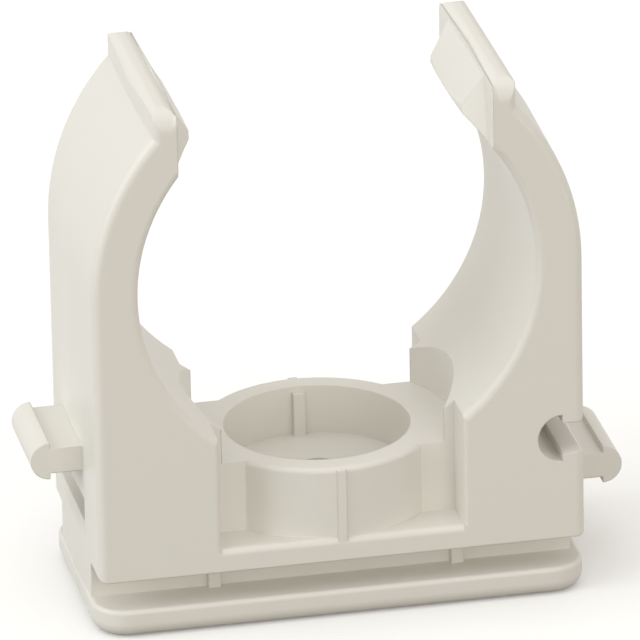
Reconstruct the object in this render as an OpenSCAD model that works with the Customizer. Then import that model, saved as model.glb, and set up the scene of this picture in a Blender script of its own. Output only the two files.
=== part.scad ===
// Snap-in pipe clip, moulded in one piece.
// X runs along the front face, Y runs back along the pipe, Z is up.
// The origin is the middle of the mounting face.

/* [Pipe seat] */
// Outside diameter of the pipe that snaps in
pipe_d = 32; // [28:0.5:40]
// Thickness of the two arms round the pipe
arm_wall = 3.75; // [3:0.05:5]
// Gap between the pipe and the screw ring's rim
seat_gap = 0.1; // [0.05:0.05:0.5]
// Depth of the clip along the pipe
clip_depth = 19.6; // [19.4:0.1:28]
// Rounding of the arms' outer edges
arm_outer_r = 0.7; // [0.2:0.05:1.2]
// Rounding of the arms' inner edges
arm_inner_r = 0.6; // [0.2:0.05:0.9]
// How much the mould's draft widens each side towards the parting line
draft = 0.2; // [0.05:0.05:0.3]

/* [Snap tips] */
// Clear width between the two upright lips
mouth_w = 25.2; // [22:0.1:27]
// Thickness of an upright lip
lip_t = 1.9; // [1.7:0.05:2.4]
// Height of a lip above the arm's outer curve
lip_rise = 2.15; // [1:0.05:3]
// Rounding across a lip's top
lip_top_r = 0.85; // [0.2:0.05:0.9]
// Rounding of a lip's two top corners
lip_end_r = 1.7; // [0.5:0.1:2]
// How far a snap lug stands in from its lip
lug_reach = 1.9; // [1:0.05:2.4]
// Length of a lug's ridge along the pipe
lug_ridge_l = 11.4; // [6:0.1:12]
// How far a lug's ridge bows in at its middle
lug_bow = 0.25; // [0.1:0.05:0.4]
// Angle between a lug's end and the pipe's axis
lug_end_turn = 44; // [35:1:60]
// How far a lug's end leans back towards its top
lug_end_lean = 14; // [0:1:20]

/* [Body] */
// Thickness of the mounting plate
plate_t = 2.4; // [1.8:0.1:4]
// How far the mounting plate stands out past each side
plate_side = 0.25; // [0:0.05:1]
// Plan rounding of the mounting plate's corners
plate_corner_r = 2.8; // [1.6:0.1:4]
// Rounding of the mounting plate's lower edges
plate_low_r = 1.2; // [0.3:0.1:1.4]
// Rounding of the mounting plate's upper edges
plate_top_r = 0.35; // [0.1:0.05:0.6]
// Height of the rail groove above the plate
groove_h = 2.6; // [1.5:0.1:4]
// How far the web in the groove stops short of the right side
web_inset = 0.45; // [0:0.05:1.5]
// Width of the small ribs in the groove
groove_rib_w = 1; // [0.6:0.1:2]
// How far the small ribs stand off the web
groove_rib_out = 0.5; // [0.2:0.1:1]
// Thickness of the web and the middle wall
web_t = 12.6; // [11:0.1:14]
// Thickness of the shelf that closes the bottom of each bay
shelf_t = 1.9; // [1.2:0.1:3]
// Rounding of the shelf's front edge
shelf_edge_r = 0.5; // [0.2:0.1:0.9]
// Width of the open bay between the two side blocks
bay_w = 19.8; // [19.2:0.1:22]
// Rounding of the side blocks' upright edges along the bay
bay_edge_r = 0.35; // [0.1:0.05:0.8]
// Rounding of the body's lower corners
body_corner_r = 0.9; // [0.3:0.1:1.4]

/* [Screw ring] */
// Height of the ring's rim above the shelf
ring_h = 5.95; // [5:0.05:9]
// Outside diameter of the ring
ring_od = 19; // [17.5:0.1:19.2]
// Inside diameter of the ring
ring_id = 15; // [12:0.1:16]
// Rounding of the rim's outer edge
rim_r = 0.4; // [0.1:0.05:0.8]
// Depth of the pocket inside the ring
pocket_depth = 4.1; // [3:0.1:5]
// Diameter of the clearance cut round the ring
clearance_d = 22; // [21.5:0.1:26]
// Diameter of the screw hole
screw_d = 4.5; // [3:0.1:5.5]
// Width of the ribs inside the ring
inner_rib_w = 1; // [0.6:0.1:2]
// How far the ribs stand into the ring
inner_rib_out = 0.55; // [0.2:0.05:1]
// Gap between the rim and the top of an inner rib
inner_rib_gap = 0.5; // [0.1:0.1:1]
// Width of the ribs outside the ring
outer_rib_w = 0.75; // [0.5:0.05:1.5]
// How far the ribs stand out of the ring
outer_rib_out = 0.28; // [0.1:0.02:0.3]
// Gap between the rim and the top of an outer rib
outer_rib_gap = 0.15; // [0.05:0.05:1]

/* [Couplings] */
// Height of the upper coupling axis
upper_z = 13.65; // [12.6:0.05:15]
// Height of the lower coupling axis
lower_z = 8.55; // [8:0.05:9.4]
// Diameter of the half-round bead on a coupling rail
bead_d = 3.1; // [2.4:0.1:3.4]
// Distance from the body's side to the bead's flat back
bead_out = 2.75; // [2.2:0.05:3.4]
// Thickness of the rail between body and bead
rail_t = 2.1; // [1.4:0.1:2.4]
// Length of a coupling rail along the pipe
rail_l = 8.6; // [6:0.1:11]
// Diameter of the half-round socket
socket_d = 4; // [3.5:0.1:4.4]
// Distance from the body's side to the steps behind the slot
socket_in = 1.8; // [1.4:0.05:2.4]
// Height of the socket's slot
slot_h = 2.6; // [2.2:0.05:2.9]
// Flare of the slot's mouth
slot_flare = 0.25; // [0.1:0.05:0.5]
// Running clearance between the rail's end and the socket's end
socket_end_gap = 0.1; // [0:0.05:1]

/* [Hidden] */
$fn = 32;

eps = 0.02;
pipe_r = pipe_d / 2;
body_w = pipe_d + 2 * arm_wall;
side_x = body_w / 2;
front_y = clip_depth / 2;
bay_x = bay_w / 2;
web_y = web_t / 2;

body_z = plate_t + groove_h;
shelf_z = body_z + shelf_t;
rim_z = shelf_z + ring_h;
axis_z = rim_z + seat_gap + pipe_r;

lip_in = mouth_w / 2;
lip_out = lip_in + lip_t;
lip_base_z = axis_z + sqrt(pow(pipe_r, 2) - pow(lip_in, 2));
lip_top_z = axis_z + sqrt(pow(side_x, 2) - pow(lip_out, 2)) + lip_rise;
lug_tip = lip_in - lug_reach;
lug_tip_z = axis_z + sqrt(pow(pipe_r, 2) - pow(lug_tip, 2));
lip_root_z = lip_base_z - 1.5 * lip_t;

// The lug's ramp runs up to the round of the lip's top.
lip_round_x = lip_in + lip_top_r;
lip_round_z = lip_top_z - lip_top_r;
ramp_run = lip_round_x - lug_tip;
ramp_rise = lip_round_z - lug_tip_z;
ramp_angle = atan2(ramp_rise, ramp_run) + asin(lip_top_r / sqrt(pow(ramp_run, 2) + pow(ramp_rise, 2)));
ramp_top_x = lip_round_x - (lip_top_r - eps) * sin(ramp_angle);
ramp_top_z = lip_round_z + (lip_top_r - eps) * cos(ramp_angle);
ridge_r = (pow(lug_ridge_l / 2, 2) + pow(lug_bow, 2)) / (2 * lug_bow);

socket_end_y = rail_l / 2 + socket_end_gap;

// Stands an outline drawn in X and Z up, and gives it a depth centred on Y = 0.
module along_pipe(depth) {
    rotate([90, 0, 0]) linear_extrude(height = depth, center = true) children();
}

// The corner that is left between a square and the arc inside it.
module corner_scrap(r) {
    difference() {
        square(r + eps);
        circle(r);
    }
}

module rounded_square(w, d, r) {
    union() {
        square([w - 2 * r, d], center = true);
        square([w, d - 2 * r], center = true);
        for (sx = [-1, 1], sy = [-1, 1]) {
            translate([sx * (w / 2 - r), sy * (d / 2 - r)]) circle(r);
        }
    }
}

// A slab whose edges are rounded all the way round, above and below.
module mounting_plate() {
    w = body_w + 2 * plate_side;
    r = plate_corner_r;
    rotate([0, 0, 90]) along_pipe(w - 2 * r) plate_section(clip_depth);
    along_pipe(clip_depth - 2 * r) plate_section(w);
    for (sx = [0, 1], sy = [0, 1]) {
        mirror([sx, 0, 0]) mirror([0, sy, 0]) translate([w / 2 - r, clip_depth / 2 - r, 0])
            rotate_extrude(angle = 90) intersection() {
                plate_section(2 * r);
                square([r, plate_t]);
            }
    }
}

// The plate's outline across its width, with its lower and upper edges rounded.
module plate_section(w) {
    difference() {
        translate([-w / 2, 0]) square([w, plate_t]);
        for (s = [0, 1]) {
            mirror([s, 0]) translate([w / 2 - plate_low_r, plate_low_r]) mirror([0, 1]) corner_scrap(plate_low_r);
            mirror([s, 0]) translate([w / 2 - plate_top_r, plate_t - plate_top_r]) corner_scrap(plate_top_r);
        }
    }
}

// The wall inside the rail groove, with its small upright ribs.
// At the left it comes up flush with the body's side.
module groove_web() {
    translate([-side_x, -web_y, plate_t - eps]) cube([body_w - web_inset, web_t, groove_h + 2 * eps]);
    translate([0, 0, plate_t - eps]) linear_extrude(height = groove_h + body_corner_r + eps) intersection() {
        mirror([1, 0]) drafted_side();
        square([body_w + 2, web_t], center = true);
    }
    for (s = [-1, 1]) {
        translate([s * bay_x - groove_rib_w / 2, -web_y - groove_rib_out, plate_t - eps])
            cube([groove_rib_w, web_t + 2 * groove_rib_out, groove_h + 2 * eps]);
    }
}

// The straight part of the body, up to the pipe's axis.
module lower_block() {
    intersection() {
        translate([0, 0, body_z]) linear_extrude(height = axis_z - body_z) union() {
            rounded_square(body_w, clip_depth, arm_outer_r);
            drafted_side();
            mirror([1, 0]) drafted_side();
        }
        along_pipe(clip_depth + 1) body_outline();
    }
}

// The sliver that the draft adds to a side, widest at the parting line.
module drafted_side() {
    end = front_y - arm_outer_r;
    polygon([[side_x - 1, -end], [side_x, -end], [side_x + draft, 0], [side_x, end], [side_x - 1, end]]);
}

module body_outline() {
    x = side_x + draft;
    r = body_corner_r;
    difference() {
        translate([-x, body_z]) square([2 * x, axis_z - body_z]);
        for (s = [0, 1]) {
            mirror([s, 0]) translate([x - r, body_z + r]) mirror([0, 1]) corner_scrap(r);
        }
    }
}

// The round part of the arms, above the pipe's axis.
module upper_arms() {
    r = arm_outer_r;
    intersection() {
        translate([0, 0, axis_z]) rotate([90, 0, 0]) rotate_extrude($fn = 72) union() {
            difference() {
                translate([0, -front_y]) square([side_x, clip_depth]);
                for (s = [0, 1]) {
                    mirror([0, s]) translate([side_x - r, front_y - r]) corner_scrap(r);
                }
            }
            drafted_side();
        }
        for (s = [0, 1]) {
            mirror([s, 0, 0]) translate([lip_in, -front_y, axis_z - eps])
                cube([side_x, clip_depth, side_x + 1]);
        }
    }
}

// The upright lip on the right arm, drafted towards the parting line.
module lip() {
    r = lip_top_r;
    h = lip_top_z - lip_root_z;
    intersection() {
        along_pipe(clip_depth) difference() {
            translate([lip_in, lip_root_z]) square([lip_t + draft, h]);
            translate([lip_out + draft - r, lip_top_z - r]) corner_scrap(r);
            translate([lip_round_x, lip_round_z]) mirror([1, 0]) corner_scrap(r);
        }
        translate([0, 0, lip_root_z]) linear_extrude(height = h) union() {
            translate([lip_in + lip_t / 2, 0]) rounded_square(lip_t, clip_depth, arm_inner_r);
            translate([lip_out - side_x, 0]) drafted_side();
        }
        lip_side_outline(h);
    }
}

// The lip's outline seen from the side, with its two top corners rounded.
module lip_side_outline(h) {
    r = lip_end_r;
    translate([0, 0, lip_root_z]) rotate([90, 0, 90]) linear_extrude(height = side_x) difference() {
        translate([-front_y, 0]) square([clip_depth, h]);
        for (s = [0, 1]) {
            mirror([s, 0]) translate([front_y - r, h - r]) corner_scrap(r);
        }
    }
}

// The wedge on the right lip that the pipe snaps past.
module snap_lug() {
    root = lip_in + lip_t / 2;
    difference() {
        intersection() {
            along_pipe(clip_depth - 1) polygon([
                [root, lip_round_z],
                [ramp_top_x, ramp_top_z],
                [lug_tip, lug_tip_z],
                [lug_tip, lip_root_z],
                [root, lip_root_z],
            ]);
            translate([lug_tip + ridge_r, 0, lip_root_z]) cylinder(r = ridge_r, h = side_x, $fn = 360);
        }
        for (s = [0, 1]) {
            mirror([0, s, 0]) lug_end_cut();
        }
    }
}

// What lies beyond the slanted front end of the right lug, as a cut.
module lug_end_cut() {
    translate([lug_tip + lug_bow, -lug_ridge_l / 2, lug_tip_z])
        rotate([0, -lug_end_lean, 180 + lug_end_turn]) translate([0, -side_x, -side_x]) cube(2 * side_x);
}

// The pipe's space, flared at both ends so that the arms' inner edges are round.
module pipe_space() {
    r = arm_inner_r;
    translate([0, 0, axis_z]) rotate([90, 0, 0]) rotate_extrude($fn = 72) union() {
        translate([0, -front_y - 1]) square([pipe_r, clip_depth + 2]);
        for (s = [-1, 1]) {
            mirror([0, s < 0 ? 1 : 0]) translate([pipe_r + r, front_y - r]) mirror([1, 0]) corner_scrap(r);
        }
    }
}

// The open bay in front of the middle wall, as a cut.
module front_bay() {
    r = bay_edge_r;
    translate([0, 0, shelf_z]) linear_extrude(height = axis_z - shelf_z) union() {
        translate([-bay_x, -front_y - 1]) square([bay_w, front_y - web_y + 1]);
        for (s = [-1, 1]) {
            translate([s * (bay_x + r), -front_y + r]) mirror([s > 0 ? 1 : 0, 0]) mirror([0, 1]) corner_scrap(r);
        }
    }
    shelf_edge_cut();
}

module shelf_edge_cut() {
    r = shelf_edge_r;
    translate([0, -front_y + r, shelf_z - r]) rotate([90, 0, 90])
        linear_extrude(height = bay_w, center = true) mirror([1, 0]) corner_scrap(r);
}

// The round clearance above the middle wall, outside the ring.
module ring_clearance() {
    translate([0, 0, rim_z]) cylinder(d = clearance_d, h = axis_z - rim_z);
}

// The ring that takes the screw's head, with ribs on its outside.
module screw_ring() {
    r = rim_r;
    translate([0, 0, shelf_z - eps]) rotate_extrude() difference() {
        square([ring_od / 2, ring_h + eps]);
        translate([ring_od / 2 - r, ring_h + eps - r]) corner_scrap(r);
    }
    for (turn = [0, 180]) {
        rotate([0, 0, turn]) translate([-outer_rib_w / 2, -ring_od / 2 - outer_rib_out, shelf_z - shelf_edge_r - eps])
            cube([outer_rib_w, ring_od / 2 + outer_rib_out, ring_h + shelf_edge_r + eps - outer_rib_gap]);
    }
}

// The pocket inside the ring with its ribs, and the screw hole below it.
module ring_pocket() {
    difference() {
        translate([0, 0, rim_z - pocket_depth]) cylinder(d = ring_id, h = pocket_depth + 1);
        for (turn = [0, 180]) {
            rotate([0, 0, turn]) translate([-inner_rib_w / 2, ring_id / 2 - inner_rib_out, 0])
                cube([inner_rib_w, inner_rib_out + 1, rim_z - inner_rib_gap]);
        }
    }
    translate([0, 0, -1]) cylinder(d = screw_d, h = rim_z);
}

// The rail on the right side, which slides into a neighbour's socket.
module coupling_rail(z) {
    translate([0, 0, z]) along_pipe(rail_l) union() {
        translate([side_x - 1, -rail_t / 2]) square([bead_out + 1 + eps, rail_t]);
        translate([side_x + bead_out, 0]) difference() {
            circle(d = bead_d);
            translate([-bead_d, -bead_d]) square([bead_d, 2 * bead_d]);
        }
    }
}

// The socket in the right side, open at the front face, as a cut.
module coupling_socket(z) {
    length = front_y + socket_end_y + 1;
    x = side_x - socket_in;
    h = slot_h / 2;
    translate([0, socket_end_y - length / 2, z]) along_pipe(length) union() {
        translate([x, 0]) difference() {
            circle(d = socket_d);
            translate([0, -socket_d]) square([socket_d, 2 * socket_d]);
        }
        polygon([
            [x - 1, -h], [side_x - slot_flare, -h], [side_x + 1, -h - slot_flare - 1],
            [side_x + 1, h + slot_flare + 1], [side_x - slot_flare, h], [x - 1, h],
        ]);
    }
}

// The space that the pipe and the ring's clearance take out of the body.
module seat_space() {
    pipe_space();
    ring_clearance();
}

// The two side blocks with their arms, and the middle wall between them.
module clip_body() {
    difference() {
        union() {
            lower_block();
            upper_arms();
            for (turn = [0, 180]) {
                rotate([0, 0, turn]) lip();
                rotate([0, 0, turn]) snap_lug();
            }
        }
        seat_space();
        for (turn = [0, 180]) {
            rotate([0, 0, turn]) front_bay();
        }
        coupling_socket(upper_z);
        rotate([0, 0, 180]) coupling_socket(lower_z);
    }
}

module pipe_clip() {
    color([0.86, 0.85, 0.82]) difference() {
        union() {
            mounting_plate();
            groove_web();
            clip_body();
            screw_ring();
            coupling_rail(lower_z);
            rotate([0, 0, 180]) coupling_rail(upper_z);
        }
        ring_pocket();
    }
}

pipe_clip();
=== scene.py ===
import math

import bpy
from mathutils import Matrix, Vector

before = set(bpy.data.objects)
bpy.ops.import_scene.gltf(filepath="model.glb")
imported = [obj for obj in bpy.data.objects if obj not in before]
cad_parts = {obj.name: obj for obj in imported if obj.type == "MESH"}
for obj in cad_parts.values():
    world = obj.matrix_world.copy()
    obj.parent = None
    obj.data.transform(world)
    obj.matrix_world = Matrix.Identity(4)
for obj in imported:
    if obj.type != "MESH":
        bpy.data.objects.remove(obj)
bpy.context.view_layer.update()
scene = bpy.context.scene
mm = 0.001


camera = {
    "turn": 11.448,  # degrees the camera looks to the right of straight back
    "tilt": 22.732,  # degrees it looks down
    "roll": -1.090,
    "distance": 0.8001,
    "target": (0.418 * mm, 0.0, 21.686 * mm),
    "lens": 564.1,
}


def placeCamera(spec):
    turn, tilt, roll = (math.radians(spec[key]) for key in ("turn", "tilt", "roll"))
    look = Vector((math.sin(turn) * math.cos(tilt), math.cos(turn) * math.cos(tilt), -math.sin(tilt)))
    right = look.cross(Vector((0, 0, 1))).normalized()
    up = right.cross(look)
    rolledRight = right * math.cos(roll) + up * math.sin(roll)
    rolledUp = up * math.cos(roll) - right * math.sin(roll)
    turned = Matrix((rolledRight, rolledUp, -look)).transposed().to_4x4()
    data = bpy.data.cameras.new("photoCamera")
    data.lens = spec["lens"]
    data.sensor_width = 36
    data.clip_start = 0.05
    data.clip_end = 20
    item = bpy.data.objects.new("photoCamera", data)
    item.matrix_world = Matrix.Translation(Vector(spec["target"]) - look * spec["distance"]) @ turned
    scene.collection.objects.link(item)
    scene.camera = item


placeCamera(camera)
print("camera placed")


def addNode(tree, kind, place=(0, 0), **settings):
    node = tree.nodes.new(kind)
    node.location = place
    for name, value in settings.items():
        setattr(node, name, value)
    return node


def mathNode(tree, operation, first, second=None, clamp=False):
    node = addNode(tree, "ShaderNodeMath", operation=operation, use_clamp=clamp)
    for socket, value in zip(node.inputs, (first, second)):
        if value is None:
            continue
        if hasattr(value, "is_output"):
            tree.links.new(value, socket)
        else:
            socket.default_value = value
    return node.outputs[0]


plastic = {
    "colour": (0.80, 0.782, 0.73),
    "roughness": 0.42,
}


def clipPlastic(spec):
    material = bpy.data.materials.new("mouldedPlastic")
    material.use_nodes = True
    tree = material.node_tree
    tree.nodes.clear()
    out = addNode(tree, "ShaderNodeOutputMaterial", (600, 0))
    shader = addNode(tree, "ShaderNodeBsdfPrincipled", (300, 0))
    tree.links.new(shader.outputs[0], out.inputs[0])
    shader.inputs["Base Color"].default_value = (*spec["colour"], 1)
    shader.inputs["Roughness"].default_value = spec["roughness"]
    bevel = addNode(tree, "ShaderNodeBevel", (0, -200), samples=8)
    bevel.inputs["Radius"].default_value = 0.2 * mm
    tree.links.new(bevel.outputs[0], shader.inputs["Normal"])
    return material


plasticMaterial = clipPlastic(plastic)
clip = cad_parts["pipe_clip"]
clip.data.materials.clear()
clip.data.materials.append(plasticMaterial)
print("clip", len(clip.data.vertices), "points,", len(clip.data.polygons), "faces")


studio = {
    "floorSize": 6.0,
    "floorSeen": (0.95, 0.95, 0.95),
    "floorBounce": (0.32, 0.30, 0.27),
    "floorGlow": 0.12,
    "worldColour": (1.0, 0.96, 0.91),
    "worldStrength": 0.75,
}

lamps = {
    "above": {"place": (-0.15, -0.1, 1.0), "size": 1.0, "watts": 1.8, "colour": (0.9, 0.98, 1.0)},
    "left": {"place": (-1.0, -0.15, 0.45), "size": 0.8, "watts": 4.5, "colour": (0.92, 0.98, 1.0)},
    "front": {"place": (0.2, -1.2, 0.3), "size": 0.6, "watts": 2.4, "colour": (1.0, 0.95, 0.88)},
}


def cameraRays(tree, glossy=True):
    path = addNode(tree, "ShaderNodeLightPath", (-800, -200))
    if not glossy:
        return path.outputs["Is Camera Ray"]
    return mathNode(tree, "ADD", path.outputs["Is Camera Ray"], path.outputs["Is Glossy Ray"], True)


def mixColour(tree, factor, first, second):
    mix = addNode(tree, "ShaderNodeMix", (-300, 0), data_type="RGBA")
    tree.links.new(factor, mix.inputs["Factor"])
    for socket, value in ((mix.inputs["A"], first), (mix.inputs["B"], second)):
        if hasattr(value, "is_output"):
            tree.links.new(value, socket)
        else:
            socket.default_value = (*value, 1)
    return mix.outputs["Result"]


def buildStudio(spec):
    half = spec["floorSize"] / 2
    mesh = bpy.data.meshes.new("floor")
    mesh.from_pydata([(-half, -half, 0), (half, -half, 0), (half, half, 0), (-half, half, 0)], [], [(0, 1, 2, 3)])
    floor = bpy.data.objects.new("floor", mesh)
    scene.collection.objects.link(floor)
    material = bpy.data.materials.new("paleFloor")
    material.use_nodes = True
    tree = material.node_tree
    shader = tree.nodes["Principled BSDF"]
    shader.inputs["Roughness"].default_value = 0.9
    shader.inputs["Specular IOR Level"].default_value = 0.0
    seen = cameraRays(tree)
    tree.links.new(mixColour(tree, seen, spec["floorBounce"], spec["floorSeen"]), shader.inputs["Base Color"])
    shader.inputs["Emission Color"].default_value = (1, 1, 1, 1)
    tree.links.new(mathNode(tree, "MULTIPLY", seen, spec["floorGlow"]), shader.inputs["Emission Strength"])
    mesh.materials.append(material)
    world = bpy.data.worlds.new("studio")
    scene.world = world
    world.use_nodes = True
    tree = world.node_tree
    background = tree.nodes["Background"]
    seen = cameraRays(tree, glossy=False)
    dim = [channel * spec["worldStrength"] for channel in spec["worldColour"]]
    tree.links.new(mixColour(tree, seen, dim, (1, 1, 1)), background.inputs["Color"])


def addLamp(name, spec):
    data = bpy.data.lights.new(name, "AREA")
    data.size = spec["size"]
    data.energy = spec["watts"]
    data.color = spec["colour"]
    lamp = bpy.data.objects.new(name, data)
    place = Vector(spec["place"])
    turned = (Vector((0, 0, 0.02)) - place).to_track_quat("-Z", "Y").to_matrix().to_4x4()
    lamp.matrix_world = Matrix.Translation(place) @ turned
    scene.collection.objects.link(lamp)


buildStudio(studio)
for name, spec in lamps.items():
    addLamp(name, spec)
scene.view_settings.view_transform = "Standard"
print("floor and light placed")
